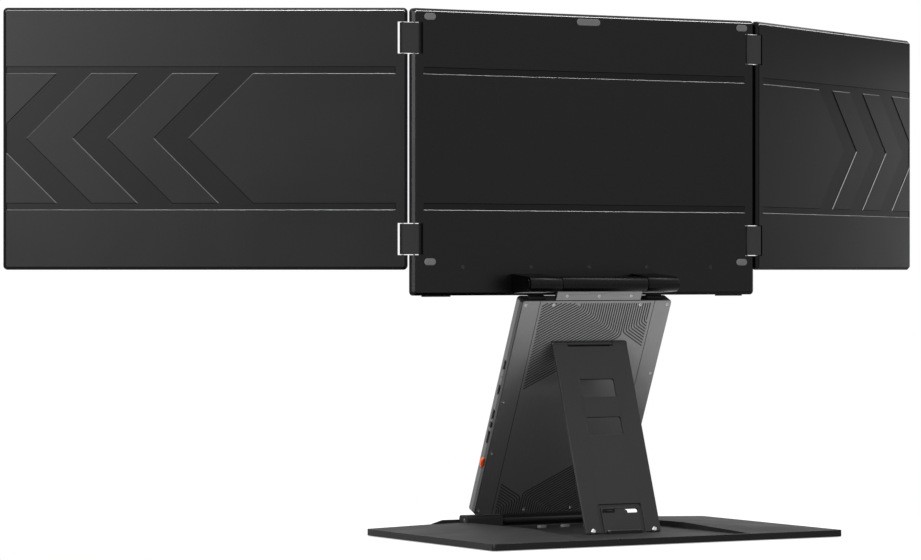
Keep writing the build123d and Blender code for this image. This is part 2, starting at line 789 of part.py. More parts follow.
def engrave(path, half_turn):
    """Adds one trace to the open sketch, as a band with a rounded bend."""
    if half_turn:
        path = [(-x, 2 * trace_center - y) for x, y in path]
    half = trace_width / 2
    if len(path) == 2:
        (x0, y0), (x1, y1) = path
        run = hypot(x1 - x0, y1 - y0)
        turn = degrees(atan2(y1 - y0, x1 - x0))
        with Locations(Location(((x0 + x1) / 2, (y0 + y1) / 2, 0), (0, 0, 1), turn)):
            SlotOverall(run + trace_width, trace_width)
        return
    sides = []
    for hand in (1, -1):
        (x0, y0), (x1, y1), (x2, y2) = path
        first = Vector(x1 - x0, y1 - y0).normalized()
        second = Vector(x2 - x1, y2 - y1).normalized()
        off_first = Vector(-first.Y, first.X) * half * hand
        off_second = Vector(-second.Y, second.X) * half * hand
        miter = (off_first + off_second) * (half * half / (half * half + off_first.dot(off_second)))
        corners = [Vector(x0, y0) + off_first, Vector(x1, y1) + miter, Vector(x2, y2) + off_second]
        turn_left = first.X * second.Y - first.Y * second.X > 0
        radius = trace_bend_radius - half if (hand > 0) == turn_left else trace_bend_radius + half
        sides.append((corners, radius))
    with BuildLine() as outline:
        near = FilletPolyline(*sides[0][0], radius=sides[0][1])
        far = FilletPolyline(*sides[1][0], radius=sides[1][1])
        Line(near @ 0, far @ 0)
        Line(near @ 1, far @ 1)
    make_face(outline.edges())


long_run = trace_side_x + trace_turn[0]
small_run = trace_side_x - trace_small_turn[0]
trace_paths = [trace_path(trace_turn, -trace_side_x, i * trace_pitch, trace_top)
               for i in range(int(long_run / trace_pitch) + 1)]
trace_paths += [trace_path(trace_small_turn, trace_side_x, i * trace_pitch, trace_top)
                for i in range(int(small_run / trace_pitch) + 1)]
trace_paths = [path for path in trace_paths if path[0][1] < trace_top - trace_width]

knuckle_foot = (2 * strut_notch_half, 6)
knuckle_foot_depth = 1.2
knuckle_foot_place = strut_pivot_along - knuckle_foot[1] / 2
curl_clear = strut_curl_radius + strut_groove_gap
with BuildPart() as housing_cover:
    with BuildSketch(housing_plane(seam)):
        with Locations(housing_middle):
            RectangleRounded(2 * housing_half_width, housing_length, housing_corner)
    extrude(amount=cover_thickness)
    rear_face = housing_cover.faces().sort_by(Axis((0, 0, 0), housing_normal))[-1]
    chamfer(rear_face.edges(), length=0.6)
    countersunk(housing_plane(housing_rear), housing_screw_places, cover_thickness, Mode.SUBTRACT)
    with BuildSketch(housing_plane(housing_rear)):
        for path in trace_paths:
            engrave(path, False)
            engrave(path, True)
    extrude(amount=-trace_depth, mode=Mode.SUBTRACT)
    with BuildSketch(housing_plane(housing_rear)):
        with Locations((-trim_line_x, housing_middle[1]), (trim_line_x, housing_middle[1])):
            Rectangle(trim_line_width, housing_length)
    extrude(amount=-trim_line_depth, mode=Mode.SUBTRACT)
    rod(strut_pivot, -strut_half_width - strut_groove_gap, strut_half_width + strut_groove_gap, curl_clear,
        mode=Mode.SUBTRACT)
    with BuildSketch(housing_plane(housing_rear)):
        with Locations((0, knuckle_foot_place)):
            Rectangle(*knuckle_foot)
    extrude(amount=-knuckle_foot_depth, mode=Mode.SUBTRACT)
finish(housing_cover, "housing_rear_cover")

with BuildPart() as strut_knuckle:
    rod(strut_pivot, -strut_notch_half, strut_notch_half, strut_curl_radius)
    with BuildSketch(housing_plane(housing_rear - knuckle_foot_depth)):
        with Locations((0, knuckle_foot_place)):
            Rectangle(*knuckle_foot)
    extrude(amount=knuckle_foot_depth)
    with BuildSketch(housing_plane(housing_rear)):
        with Locations((0, strut_pivot_along)):
            Rectangle(2 * strut_notch_half, strut_curl_radius * 1.6)
    extrude(amount=strut_pivot_off)
    rod(strut_pivot, -strut_notch_half, strut_notch_half, strut_pin_radius + pin_running_gap,
        mode=Mode.SUBTRACT)
finish(strut_knuckle, "strut_hinge_knuckle")

with BuildPart() as top_bracket:
    with BuildSketch(housing_plane(housing_rear - bracket_thickness)):
        with Locations((0, (housing_top + bracket_top) / 2)):
            Rectangle(2 * tube_half_length, bracket_top - housing_top)
    extrude(amount=bracket_thickness)
    tube_start, tube_end = barrel_mid_x - tube_half_length, barrel_mid_x + tube_half_length
    rod(tilt_axis, -tube_half_length, tube_start, barrel_radius + barrel_gap, mode=Mode.SUBTRACT)
    rod(tilt_axis, tube_start, tube_half_length, barrel_radius, mode=Mode.SUBTRACT)
    countersunk(housing_plane(housing_rear), bracket_screw_places, bracket_thickness, Mode.SUBTRACT)
finish(top_bracket, "tilt_bracket")

with BuildPart() as tilt_tube:
    rod(tilt_axis, tube_start, tube_end, barrel_radius, shaft_radius)
finish(tilt_tube, "tilt_tube")

with BuildPart() as tilt_shaft:
    shaft_end = knuckle_end - end_cap_thickness - 0.4
    rod(tilt_axis, barrel_mid_x - shaft_end, barrel_mid_x + shaft_end, shaft_radius)
finish(tilt_shaft, "tilt_shaft")

with BuildPart() as housing_screws:
    countersunk(housing_plane(housing_rear), housing_screw_places, housing_screw_length, Mode.ADD)
    countersunk(housing_plane(housing_rear), bracket_screw_places, bracket_thickness, Mode.ADD)
finish(housing_screws, "housing_screws")

bracket_half = hinge_block_inner - bracket_side_gap
with BuildPart() as lower_bracket:
    with BuildSketch(housing_plane(-lower_barrel_radius)):
        with Locations((0, (housing_bottom + lower_plate_bottom) / 2)):
            Rectangle(2 * bracket_half, housing_bottom - lower_plate_bottom)
    extrude(amount=lower_barrel_radius + housing_rear)
    rod(base_hinge, -bracket_half, bracket_half, lower_barrel_radius)
    rod(base_hinge, -bracket_half, bracket_half, lower_shaft_radius + shaft_running_gap, mode=Mode.SUBTRACT)
finish(lower_bracket, "lower_bracket")

with BuildPart() as main_board:
    with BuildSketch(housing_plane(board_low)):
        with Locations((0, board_middle)):
            Rectangle(*board_size)
        with Locations(*housing_screw_places):
            Circle(screw_boss_radius + screw_boss_gap, mode=Mode.SUBTRACT)
    extrude(amount=main_board_thickness)
finish(main_board, "main_board")

with BuildPart() as board_chips:
    with BuildSketch(housing_plane(board_low)):
        with Locations(*[(processor_x, board_middle + row * processor_pitch) for row in (-1, 0, 1)]):
            Rectangle(processor_size, processor_size)
        with Locations(*[(x, board_middle + y) for x, y in chip_places]):
            Rectangle(*chip_size)
    extrude(amount=-chip_height)
finish(board_chips, "board_chips")

with BuildPart() as heat_spreader:
    with BuildSketch(housing_plane(tray_floor)):
        with Locations((processor_x, board_middle)):
            Rectangle(*spreader_size)
    extrude(amount=board_low - chip_height - tray_floor)
finish(heat_spreader, "heat_spreader")


mouth_x = edge_x + socket_inset


def make_sockets(places, width, height, name):
    """Steel shells open to the side, with a closed back, standing on the board."""
    low = socket_mid - height / 2
    with BuildPart() as shells:
        for place in places:
            with BuildSketch(housing_plane(low)):
                with Locations((mouth_x + socket_length / 2, place)):
                    Rectangle(socket_length, width)
            extrude(amount=height)
            with BuildSketch(housing_plane(low + socket_wall)):
                with Locations((mouth_x + socket_length / 2 - socket_back, place)):
                    Rectangle(socket_length, width - 2 * socket_wall)
            extrude(amount=height - 2 * socket_wall, mode=Mode.SUBTRACT)
    finish(shells, name)


make_sockets(usb_c_places, usb_c_width, usb_c_height, "usb_c_sockets")
make_sockets((mini_hdmi_place,), mini_hdmi_width, mini_hdmi_height, "mini_hdmi_socket")

with BuildPart() as socket_tongues:
    with BuildSketch(housing_plane(socket_mid - tongue_thickness / 2)):
        tongue_x = mouth_x + socket_length - socket_back - tongue_length / 2
        with Locations(*[(tongue_x, place) for place in usb_c_places]):
            Rectangle(tongue_length, usb_c_tongue_width)
        with Locations((tongue_x, mini_hdmi_place)):
            Rectangle(tongue_length, mini_hdmi_tongue_width)
    extrude(amount=tongue_thickness)
finish(socket_tongues, "socket_tongues")

with BuildPart() as power_button:
    button_depth = housing_wall + button_proud + button_travel
    with BuildSketch(housing_plane(socket_mid - button_height / 2)):
        with Locations((edge_x - button_proud + button_depth / 2, button_place)):
            RectangleRounded(button_depth, button_length, 0.4)
    extrude(amount=button_height)
finish(power_button, "power_button")

with BuildPart() as button_switch:
    switch_x = edge_x - button_proud + button_depth + button_travel + switch_gap
    with BuildSketch(housing_plane(board_low)):
        with Locations((switch_x + switch_depth / 2, button_place)):
            Rectangle(switch_depth, button_length)
    extrude(amount=-button_height)
finish(button_switch, "button_switch")

with BuildPart() as control_dial:
    with BuildSketch(housing_plane(socket_mid - dial_thickness / 2)):
        with Locations((dial_x, dial_place)):
            Circle(dial_radius)
            with PolarLocations(dial_radius, 36):
                Circle(0.25, mode=Mode.SUBTRACT)
            Circle(dial_axle_radius + pin_running_gap, mode=Mode.SUBTRACT)
    extrude(amount=dial_thickness)
finish(control_dial, "control_dial")

with BuildPart() as dial_axle:
    with BuildSketch(housing_plane(tray_floor)):
        with Locations((dial_x, dial_place)):
            Circle(dial_axle_radius)
    extrude(amount=board_low - tray_floor)
finish(dial_axle, "dial_axle")

with BuildPart() as cable_grommets:
    with BuildSketch(housing_plane(housing_front + grommet_inset)):
        grommet_y = housing_top + grommet_height / 2
        with Locations((-grommet_x, grommet_y), (grommet_x, grommet_y)):
            Rectangle(grommet_size[0], grommet_height)
    extrude(amount=grommet_size[1])
finish(cable_grommets, "cable_grommets")

# ---- strut -----------------------------------------------------------------------------------
strut_front = -strut_thickness / 2
with BuildPart() as strut_plate:
    strut_edge = strut_pivot - Vector(strut_half_width, 0, 0)
    with BuildSketch(Plane(origin=strut_edge, x_dir=strut_normal, z_dir=(1, 0, 0))):
        with Locations((0, -strut_length / 2)):
            Rectangle(strut_thickness, strut_length)
        Circle(strut_curl_radius)
        Circle(strut_pin_radius, mode=Mode.SUBTRACT)
    extrude(amount=2 * strut_half_width)
    with BuildSketch(strut_plane(strut_front)):
        with Locations(*[(0, -(low + high) / 2) for low, high in strut_windows]):
            RectangleRounded(2 * strut_window_half, strut_windows[0][1] - strut_windows[0][0], 2)
        with Locations((-strut_slot_x, -strut_slot_place), (strut_slot_x, -strut_slot_place)):
            SlotOverall(*strut_slot_size)
    extrude(amount=strut_thickness, mode=Mode.SUBTRACT)
    notch_half = strut_notch_half + bracket_side_gap
    with BuildSketch(strut_plane(-2 * strut_curl_radius)):
        with Locations((0, strut_curl_radius - (strut_notch_drop + 2 * strut_curl_radius) / 2)):
            Rectangle(2 * notch_half, strut_notch_drop + 2 * strut_curl_radius)
    extrude(amount=4 * strut_curl_radius, mode=Mode.SUBTRACT)
    rod(strut_pivot, -notch_half, notch_half, curl_clear, mode=Mode.SUBTRACT)
    tab_height = strut_length - tab_top
    with BuildSketch(strut_plane(-strut_front)) as tab_groove:
        with Locations((0, -tab_top - tab_height / 2)):
            Rectangle(2 * tab_half_width, tab_height)
        fillet(tab_groove.vertices().group_by(Axis.Y)[-1], radius=tab_round)
        with Locations((0, -tab_top - tab_height / 2 - tab_top_groove_width)):
            Rectangle(2 * (tab_half_width - tab_groove_width), tab_height, mode=Mode.SUBTRACT)
    extrude(amount=-tab_groove_depth, mode=Mode.SUBTRACT)
finish(strut_plate, "strut_plate")

with BuildPart() as strut_pin:
    rod(strut_pivot, -strut_half_width, strut_half_width, strut_pin_radius)
finish(strut_pin, "strut_pin")

with BuildPart() as foot_studs:
    with BuildSketch(strut_plane(-strut_front)):
        with Locations((-stud_x, -stud_place), (stud_x, -stud_place)):
            Circle(stud_radius)
    extrude(amount=stud_height)
    fillet(foot_studs.faces().sort_by(Axis((0, 0, 0), strut_normal))[-2:].edges(), radius=stud_round)
finish(foot_studs, "strut_foot_studs")

# ---- base ------------------------------------------------------------------------------------
half_width = base_width / 2
half_depth = base_depth / 2
pocket_front_y = -half_depth + front_rail_width
pocket_rear_y = half_depth - pocket_rear_margin
hinge_block_rear_y = base_hinge_y + hinge_block_reach


def roof_planes(side, drop):
    """Facets of one sloping shoulder of the base, lowered by drop, as planes facing up."""
    rim_front = Vector(side * half_width, -half_depth, base_rim_z - drop)
    rim_rear = Vector(side * half_width, half_depth, base_rim_z - drop)
    apex = Vector(side * ridge_x, ridge_y, ridge_z - drop)
    front = Vector(side * ridge_x, -half_depth, ridge_front_z - drop)
    rear = Vector(side * ridge_x, half_depth, base_rim_z - drop)
    facets = []
    for a, b, c in ((rim_front, rim_rear, apex), (rim_front, apex, front), (rim_rear, rear, apex)):
        normal = (b - a).cross(c - a).normalized()
        facets.append(Plane(origin=a, z_dir=normal if normal.Z > 0 else normal * -1))
    return facets


inside_x = max(ridge_x, hinge_block_outer) + base_wall
inside_width = half_width - base_wall - inside_x
shoulder_bottom = mat_thickness + plate_thickness
with BuildPart() as shoulder_hollows:
    with BuildSketch(Plane.XY.offset(shoulder_bottom)):
        with Locations((-inside_x - inside_width / 2, 0), (inside_x + inside_width / 2, 0)):
            Rectangle(inside_width, base_depth - 2 * base_wall)
    extrude(amount=ridge_z)
    for side in (-1, 1):
        for facet in roof_planes(side, base_wall):
            split(bisect_by=facet, keep=Keep.BOTTOM)

block_places = [(side * (hinge_block_inner + hinge_block_outer) / 2,
                 (pocket_front_y + hinge_block_rear_y) / 2) for side in (-1, 1)]
block_size = (hinge_block_outer - hinge_block_inner, hinge_block_rear_y - pocket_front_y)
with BuildPart() as base_shell:
    with BuildSketch(Plane.XY.offset(base_underside_z)):
        RectangleRounded(base_width, base_depth, base_corner)
    extrude(amount=ridge_z)
    for side in (-1, 1):
        for facet in roof_planes(side, 0):
            split(bisect_by=facet, keep=Keep.BOTTOM)
    with BuildSketch(Plane.XY.offset(pocket_floor_z)):
        with Locations((0, (pocket_front_y + pocket_rear_y) / 2)):
            Rectangle(2 * ridge_x, pocket_rear_y - pocket_front_y)
    extrude(amount=ridge_z, mode=Mode.SUBTRACT)
    with BuildSketch(Plane.XY.offset(base_rim_z)):
        Rectangle(2 * ridge_x, 2 * base_depth)
    extrude(amount=ridge_z, mode=Mode.SUBTRACT)
    with BuildSketch(Plane.XY.offset(pocket_floor_z)):
        with Locations(*block_places):
            Rectangle(*block_size)
    extrude(amount=ridge_z, mode=Mode.SUBTRACT)
    with BuildSketch(Plane.XZ.offset(half_depth)):
        with BuildLine():
            Polyline((-front_rail_half, base_rim_z), (-front_rail_top_half, front_rail_top_z),
                     (front_rail_top_half, front_rail_top_z), (front_rail_half, base_rim_z), close=True)
        make_face()
    extrude(amount=-front_rail_width)
    with BuildSketch(Plane.XY.offset(base_underside_z)):
        Rectangle(base_width - 2 * base_wall, base_depth - 2 * base_wall)
    extrude(amount=shoulder_bottom - base_underside_z, mode=Mode.SUBTRACT)
    add(shoulder_hollows.part, mode=Mode.SUBTRACT)
    with BuildSketch(Plane.XY.offset(base_rim_z - 1.2)):
        with Locations((-rim_notch_x, half_depth), (rim_notch_x, half_depth)):
            Rectangle(rim_notch_width, 2)
    extrude(amount=2, mode=Mode.SUBTRACT)
finish(base_shell, "base_top_shell")

with BuildPart() as bottom_plate:
    with BuildSketch(Plane.XY.offset(mat_thickness)):
        Rectangle(base_width - 2 * base_wall, base_depth - 2 * base_wall)
    extrude(amount=plate_thickness)
finish(bottom_plate, "base_bottom_plate")

with BuildPart() as grip_mat:
    with BuildSketch():
        RectangleRounded(base_width - 2 * mat_inset, base_depth - 2 * mat_inset, base_corner)
    extrude(amount=mat_thickness)
finish(grip_mat, "grip_mat")

with BuildPart() as ballast:
    with BuildSketch(Plane.XY.offset(shoulder_bottom)):
        ballast_x = inside_x + ballast_inset + ballast_width / 2
        with Locations((-ballast_x, ballast_y), (ballast_x, ballast_y)):
            Rectangle(ballast_width, base_depth - 2 * ballast_end_margin)
    extrude(amount=ballast_thickness)
finish(ballast, "ballast_plates")

with BuildPart() as hinge_blocks:
    with BuildSketch(Plane.XY.offset(pocket_floor_z)):
        with Locations(*block_places):
            Rectangle(*block_size)
    extrude(amount=hinge_block_top_z - pocket_floor_z)
    long_edges = hinge_blocks.faces().sort_by(Axis.Z)[-2:].edges().filter_by(Axis.X)
    fillet(long_edges, radius=hinge_block_round)
    rod(base_hinge, -hinge_block_outer, hinge_block_outer, lower_shaft_radius, mode=Mode.SUBTRACT)
    with BuildSketch(Plane.XY.offset(pocket_floor_z)):
        with Locations((0, pocket_front_y + bridge_width / 2)):
            Rectangle(2 * hinge_block_inner, bridge_width)
    extrude(amount=bridge_top_z - pocket_floor_z)
finish(hinge_blocks, "base_hinge_blocks")

with BuildPart() as base_shaft:
    rod(base_hinge, -hinge_block_outer, hinge_block_outer, lower_shaft_radius)
finish(base_shaft, "base_hinge_shaft")

with BuildPart() as foot_stop:
    stop_front = strut_foot.Y + strut_thickness / 2 * strut_normal.Y + foot_stop_gap
    with BuildSketch(Plane.XY.offset(pocket_floor_z)):
        with Locations((0, stop_front + foot_stop_width / 2)):
            Rectangle(2 * foot_stop_half, foot_stop_width)
    extrude(amount=foot_stop_top_z - pocket_floor_z)
finish(foot_stop, "foot_stop")

with BuildPart() as pocket_bumpers:
    pocket_bumper_y = base_hinge_y + pocket_bumper_reach
    with BuildSketch(Plane.XY.offset(pocket_floor_z)):
        with Locations(*[(x, pocket_bumper_y) for x in pocket_bumper_xs]):
            SlotOverall(*pocket_bumper_size)
    extrude(amount=pocket_bumper_height)
finish(pocket_bumpers, "pocket_bumpers")
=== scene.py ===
# %% [markdown]
# # A triple-screen laptop extender
# Three screens hang on a tilt barrel above an electronics housing, which leans on a strut over a
# flat weighted base. The solids come from the CAD model and stay where they are. Blender adds
# what an engineer's solid leaves out: eased edges, driven screws and real finishes.

# %% Load the CAD model
import bpy, bmesh
import json
from math import cos, pi, radians, sin
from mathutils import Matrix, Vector


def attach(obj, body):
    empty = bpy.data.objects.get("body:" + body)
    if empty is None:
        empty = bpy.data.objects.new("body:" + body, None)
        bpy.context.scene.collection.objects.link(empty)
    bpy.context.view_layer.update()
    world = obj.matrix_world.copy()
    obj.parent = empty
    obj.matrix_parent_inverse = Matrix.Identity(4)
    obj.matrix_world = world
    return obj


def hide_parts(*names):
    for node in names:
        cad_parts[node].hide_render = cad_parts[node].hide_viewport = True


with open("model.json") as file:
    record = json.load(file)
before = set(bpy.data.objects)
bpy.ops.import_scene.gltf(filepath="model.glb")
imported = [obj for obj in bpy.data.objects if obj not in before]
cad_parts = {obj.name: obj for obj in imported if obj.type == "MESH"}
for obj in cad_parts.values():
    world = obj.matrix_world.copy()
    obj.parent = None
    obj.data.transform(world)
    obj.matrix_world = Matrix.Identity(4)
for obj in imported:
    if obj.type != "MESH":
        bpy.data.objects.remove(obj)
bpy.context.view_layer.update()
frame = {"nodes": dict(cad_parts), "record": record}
nodes = frame["nodes"]
scene = bpy.context.scene
scene.view_settings.view_transform = "Standard"
MM = 0.001
print(len(nodes), "CAD nodes")


# %% [markdown]
# ## The camera
# A product picture is taken from far away through a long lens, so that straight edges stay
# parallel. The camera stands level, behind and to one side, a little above the base.

# %% Camera
lens_mm = 150.09
shift_up = -0.01066
camera_place = (1.6392, 2.6090, 0.2134)
camera_turn = radians(150)
camera_data = bpy.data.cameras.new("camera")
camera_data.sensor_width = 36
camera_data.lens = lens_mm
camera_data.shift_y = shift_up
camera = bpy.data.objects.new("camera", camera_data)
camera.location = camera_place
camera.rotation_euler = (radians(90), 0, camera_turn)
scene.collection.objects.link(camera)
scene.camera = camera
print("camera", round(camera_data.lens), "mm at", [round(v, 2) for v in camera.location])


# %% [markdown]
# ## Nodes in short
# Every finish below is a small node tree. One function adds a node, sets its sockets and links
# them, so that a material reads as a list of what it is made of.

# %% Helpers for materials
def linear(code):
    """Linear colour of an sRGB hex code."""
    channels = [int(code[i:i + 2], 16) / 255 for i in (1, 3, 5)]
    return [c / 12.92 if c <= 0.04045 else ((c + 0.055) / 1.055) ** 2.4 for c in channels] + [1.0]


def node(tree, kind, settings=None, **inputs):
    """Adds a node. Inputs are numbers, colours or output sockets, named by socket or by _number."""
    made = tree.nodes.new("ShaderNode" + kind)
    for key, value in (settings or {}).items():
        setattr(made, key, value)
    for key, value in inputs.items():
        socket = made.inputs[int(key[1:])] if key[0] == "_" else made.inputs[key.replace("_", " ")]
        if isinstance(value, bpy.types.NodeSocket):
            tree.links.new(value, socket)
        else:
            socket.default_value = value
    return made


def new_material(name):
    """An empty material, its tree and its output node."""
    material = bpy.data.materials.new(name)
    material.use_nodes = True
    tree = material.node_tree
    tree.nodes.clear()
    return material, tree, tree.nodes.new("ShaderNodeOutputMaterial")


# %% [markdown]
# ## A plain studio
# The backdrop is white to the camera and in reflections, through Light Path, while only a dim
# fill falls on the object. A dark satin object lives from what it mirrors, so a few small bright
# lamps stand where the edges look: above for every edge that faces up, beside the camera, at each
# side, and a weak one in front for the displays.

# %% World
world = bpy.data.worlds.new("studio")
world.use_nodes = True
scene.world = world
sky = world.node_tree
sky.nodes.clear()
rays = node(sky, "LightPath")
seen = node(sky, "Math", {"operation": "MAXIMUM"}, _0=rays.outputs["Is Camera Ray"],
            _1=rays.outputs["Is Glossy Ray"])
seen = node(sky, "Math", {"operation": "MAXIMUM"}, _0=seen.outputs[0],
            _1=rays.outputs["Is Transmission Ray"])
fill = node(sky, "Background", Color=linear("#f6f7fa"), Strength=0.55)
backdrop = node(sky, "Background", Color=(1, 1, 1, 1), Strength=1.0)
shown = node(sky, "MixShader", _0=seen.outputs[0], _1=fill.outputs[0], _2=backdrop.outputs[0])
sky_output = sky.nodes.new("ShaderNodeOutputWorld")
sky.links.new(shown.outputs[0], sky_output.inputs["Surface"])

# %% [markdown]
# The paper floor keeps the object's soft shadow near it and fades into the backdrop further out,
# by distance from the object, so that no horizon shows.

# %% Floor
floor_reach = 6.0
floor_drop = 0.2 * MM
corners = ((-1, -1), (1, -1), (1, 1), (-1, 1))
floor_mesh = bpy.data.meshes.new("floor")
floor_mesh.from_pydata([(x * floor_reach, y * floor_reach, 0) for x, y in corners], [], [(0, 1, 2, 3)])
floor = bpy.data.objects.new("floor", floor_mesh)
floor.location.z = -floor_drop
scene.collection.objects.link(floor)
paper, tree, output = new_material("seamless_paper")
matte = node(tree, "BsdfDiffuse", Color=linear("#d8d8d8"))
glow = node(tree, "Emission", Color=(1, 1, 1, 1), Strength=0.42)
near_paper = node(tree, "AddShader", _0=matte.outputs[0], _1=glow.outputs[0])
far_paper = node(tree, "Emission", Color=(1, 1, 1, 1), Strength=1.0)
place = node(tree, "NewGeometry").outputs["Position"]
distance = node(tree, "VectorMath", {"operation": "LENGTH"}, _0=place).outputs["Value"]
fade = node(tree, "MapRange", {"interpolation_type": "SMOOTHSTEP"}, Value=distance,
            From_Min=0.2, From_Max=0.42)
visible = node(tree, "MixShader", _0=fade.outputs["Result"], _1=near_paper.outputs[0],
               _2=far_paper.outputs[0])
rays = node(tree, "LightPath")
lit = node(tree, "MixShader", _0=rays.outputs["Is Camera Ray"], _1=matte.outputs[0],
           _2=visible.outputs[0])
tree.links.new(lit.outputs[0], output.inputs["Surface"])
floor_mesh.materials.append(paper)


# %% Lamps
def softbox(name, azimuth, elevation, distance, size, radiance):
    """A rectangular lamp that faces the object, given by its direction and its brightness."""
    lamp = bpy.data.lights.new(name, "AREA")
    lamp.shape = "RECTANGLE"
    lamp.size, lamp.size_y = size
    lamp.energy = radiance * pi * size[0] * size[1]
    holder = bpy.data.objects.new(name, lamp)
    a, e = radians(azimuth), radians(elevation)
    toward = Vector((cos(a) * cos(e), sin(a) * cos(e), sin(e)))
    holder.location = lamp_target + toward * distance
    holder.rotation_euler = (-toward).to_track_quat("-Z", "Y").to_euler()
    scene.collection.objects.link(holder)


lamp_target = Vector((0, 0, 0.22))
softbox("overhead", 90, 88, 2.5, (0.8, 0.8), 10)
softbox("high_left", 180, 60, 2.5, (0.8, 0.8), 5)
softbox("low_left", 212, 32, 2.5, (0.6, 0.6), 6)
softbox("beside_camera", 30, 18, 3.0, (0.4, 1.8), 18)
softbox("right_gradient", 36, 14, 2.0, (0.5, 0.7), 3.5)
softbox("left_gradient", 197.6, 3, 0.92, (0.1, 0.3), 6)
softbox("right_side", 4, 12, 3.0, (0.4, 1.6), 8)
softbox("right_rim", -58, 6, 2.6, (0.5, 1.0), 0.8)
softbox("front", -80, 30, 2.8, (1.4, 1.2), 3)


# %% [markdown]
# ## Screen covers
# The covers are aluminium, blasted with fine glass beads and anodised dark grey. Blasting leaves
# pits that each catch a little light, so the raised faces look grained. The lines and chevrons
# are milled after blasting and stay smooth, which is why they read as plain dark bands. The
# depth below the raised face, measured along the cover's own normal, tells the two apart.

# %% Anodised covers
side_turn = radians(30)
relief_depth = 0.42 * MM
cover_normals = {"center": (0, 1, 0), "right": (sin(side_turn), cos(side_turn), 0),
                 "left": (-sin(side_turn), cos(side_turn), 0)}
finishes = {}
for screen, rear in cover_normals.items():
    material, tree, output = new_material(screen + "_bead_blasted_anodised_aluminium")
    cover = nodes[screen + "_rear_cover"].data
    level = max(vertex.co.dot(Vector(rear)) for vertex in cover.vertices)
    place = node(tree, "TexCoord").outputs["Object"]
    height = node(tree, "VectorMath", {"operation": "DOT_PRODUCT"}, _0=place, _1=rear).outputs["Value"]
    milled = node(tree, "Math", {"operation": "LESS_THAN"}, _0=height, _1=level - 0.3 * MM).outputs[0]
    blasted = node(tree, "Math", {"operation": "SUBTRACT"}, _0=1.0, _1=milled).outputs[0]
    # Real pits are about 0.05 mm; 0.8 mm keeps them visible at the distance of the camera.
    pits = node(tree, "TexNoise", Vector=place, Scale=1 / (0.8 * MM), Detail=2.0, Roughness=0.7)
    amount = node(tree, "Math", {"operation": "MULTIPLY"}, _0=pits.outputs["Fac"], _1=blasted).outputs[0]
    grained = node(tree, "Mix", {"data_type": "RGBA"}, Factor=amount, _6=linear("#232323"),
                   _7=linear("#2d2d2d"))
    surface_tone = node(tree, "Mix", {"data_type": "RGBA"}, Factor=milled, _6=grained.outputs[2],
               _7=linear("#232323"))
    # The chamfers round the raised faces get painted light: a pale painted highlight where they face up,
    # near-black painted shade where they face down.
    slope = node(tree, "SeparateXYZ", Vector=node(tree, "TexCoord").outputs["Normal"]).outputs["Z"]
    over = node(tree, "Math", {"operation": "GREATER_THAN"}, _0=height, _1=level - relief_depth).outputs[0]
    under = node(tree, "Math", {"operation": "LESS_THAN"}, _0=height, _1=level - 0.02 * MM).outputs[0]
    chamfer = node(tree, "Math", {"operation": "MULTIPLY"}, _0=over, _1=under).outputs[0]
    upward = node(tree, "Math", {"operation": "GREATER_THAN"}, _0=slope, _1=0.1).outputs[0]
    # Painted highlight and painted shade on the chamfers, chosen by which way each wall faces.
    painted_chamfer_light = node(tree, "Mix", {"data_type": "RGBA"}, Factor=upward, _6=linear("#0e0e0e"), _7=linear("#a5a5a5"))
    surface_tone = node(tree, "Mix", {"data_type": "RGBA"}, Factor=chamfer, _6=surface_tone.outputs[2], _7=painted_chamfer_light.outputs[2])
    handling = node(tree, "TexNoise", Vector=place, Scale=1 / (60 * MM), Detail=3.0)
    roughness = node(tree, "MapRange", Value=handling.outputs["Fac"], From_Min=0.3, From_Max=0.7,
                     To_Min=0.31, To_Max=0.37)
    pitted = node(tree, "Bump", Strength=0.35, Distance=0.03 * MM, Height=amount)
    # The dyed oxide swallows light that grazes it, so the metal's bright rim is toned down.
    surface = node(tree, "BsdfPrincipled", Base_Color=surface_tone.outputs[2], Metallic=1.0,
                   Specular_Tint=linear("#bcbcbc"), Roughness=roughness.outputs["Result"],
                   Normal=pitted.outputs[0])
    tree.links.new(surface.outputs[0], output.inputs["Surface"])
    finishes[screen + "_shell"] = material
print("cover finishes", list(finishes))


# %% [markdown]
# ## Housing
# The housing is brushed along its height, then anodised in a lighter grey. It mirrors the floor
# and the dark base below, so it runs from light at the top to dark at the bottom by itself. The
# trace-like lines are engraved, and below the face they are coloured dark and matt. Masks by
# height and slope also paint shade, near-black, into the seam round the cover and onto the top
# end below the barrel.

# %% Anodised housing
lean = radians(24)
seam_depth = 4.6 * MM
housing_normal = Vector((0, cos(lean), -sin(lean)))
housing_along = Vector((0, sin(lean), cos(lean)))
housing_level = max(v.co.dot(housing_normal) for v in nodes["housing_rear_cover"].data.vertices)
material, tree, output = new_material("satin_anodised_aluminium")
place = node(tree, "TexCoord").outputs["Object"]
height = node(tree, "VectorMath", {"operation": "DOT_PRODUCT"}, _0=place,
              _1=housing_normal[:]).outputs["Value"]
# The engraved lines, between 0.1 and 0.5 mm below the face, are coloured dark and matt.
below_face = node(tree, "Math", {"operation": "LESS_THAN"}, _0=height,
                  _1=housing_level - 0.1 * MM).outputs[0]
above_floor = node(tree, "Math", {"operation": "GREATER_THAN"}, _0=height,
                   _1=housing_level - 0.5 * MM).outputs[0]
engraved_lines = node(tree, "Math", {"operation": "MULTIPLY"}, _0=below_face, _1=above_floor).outputs[0]
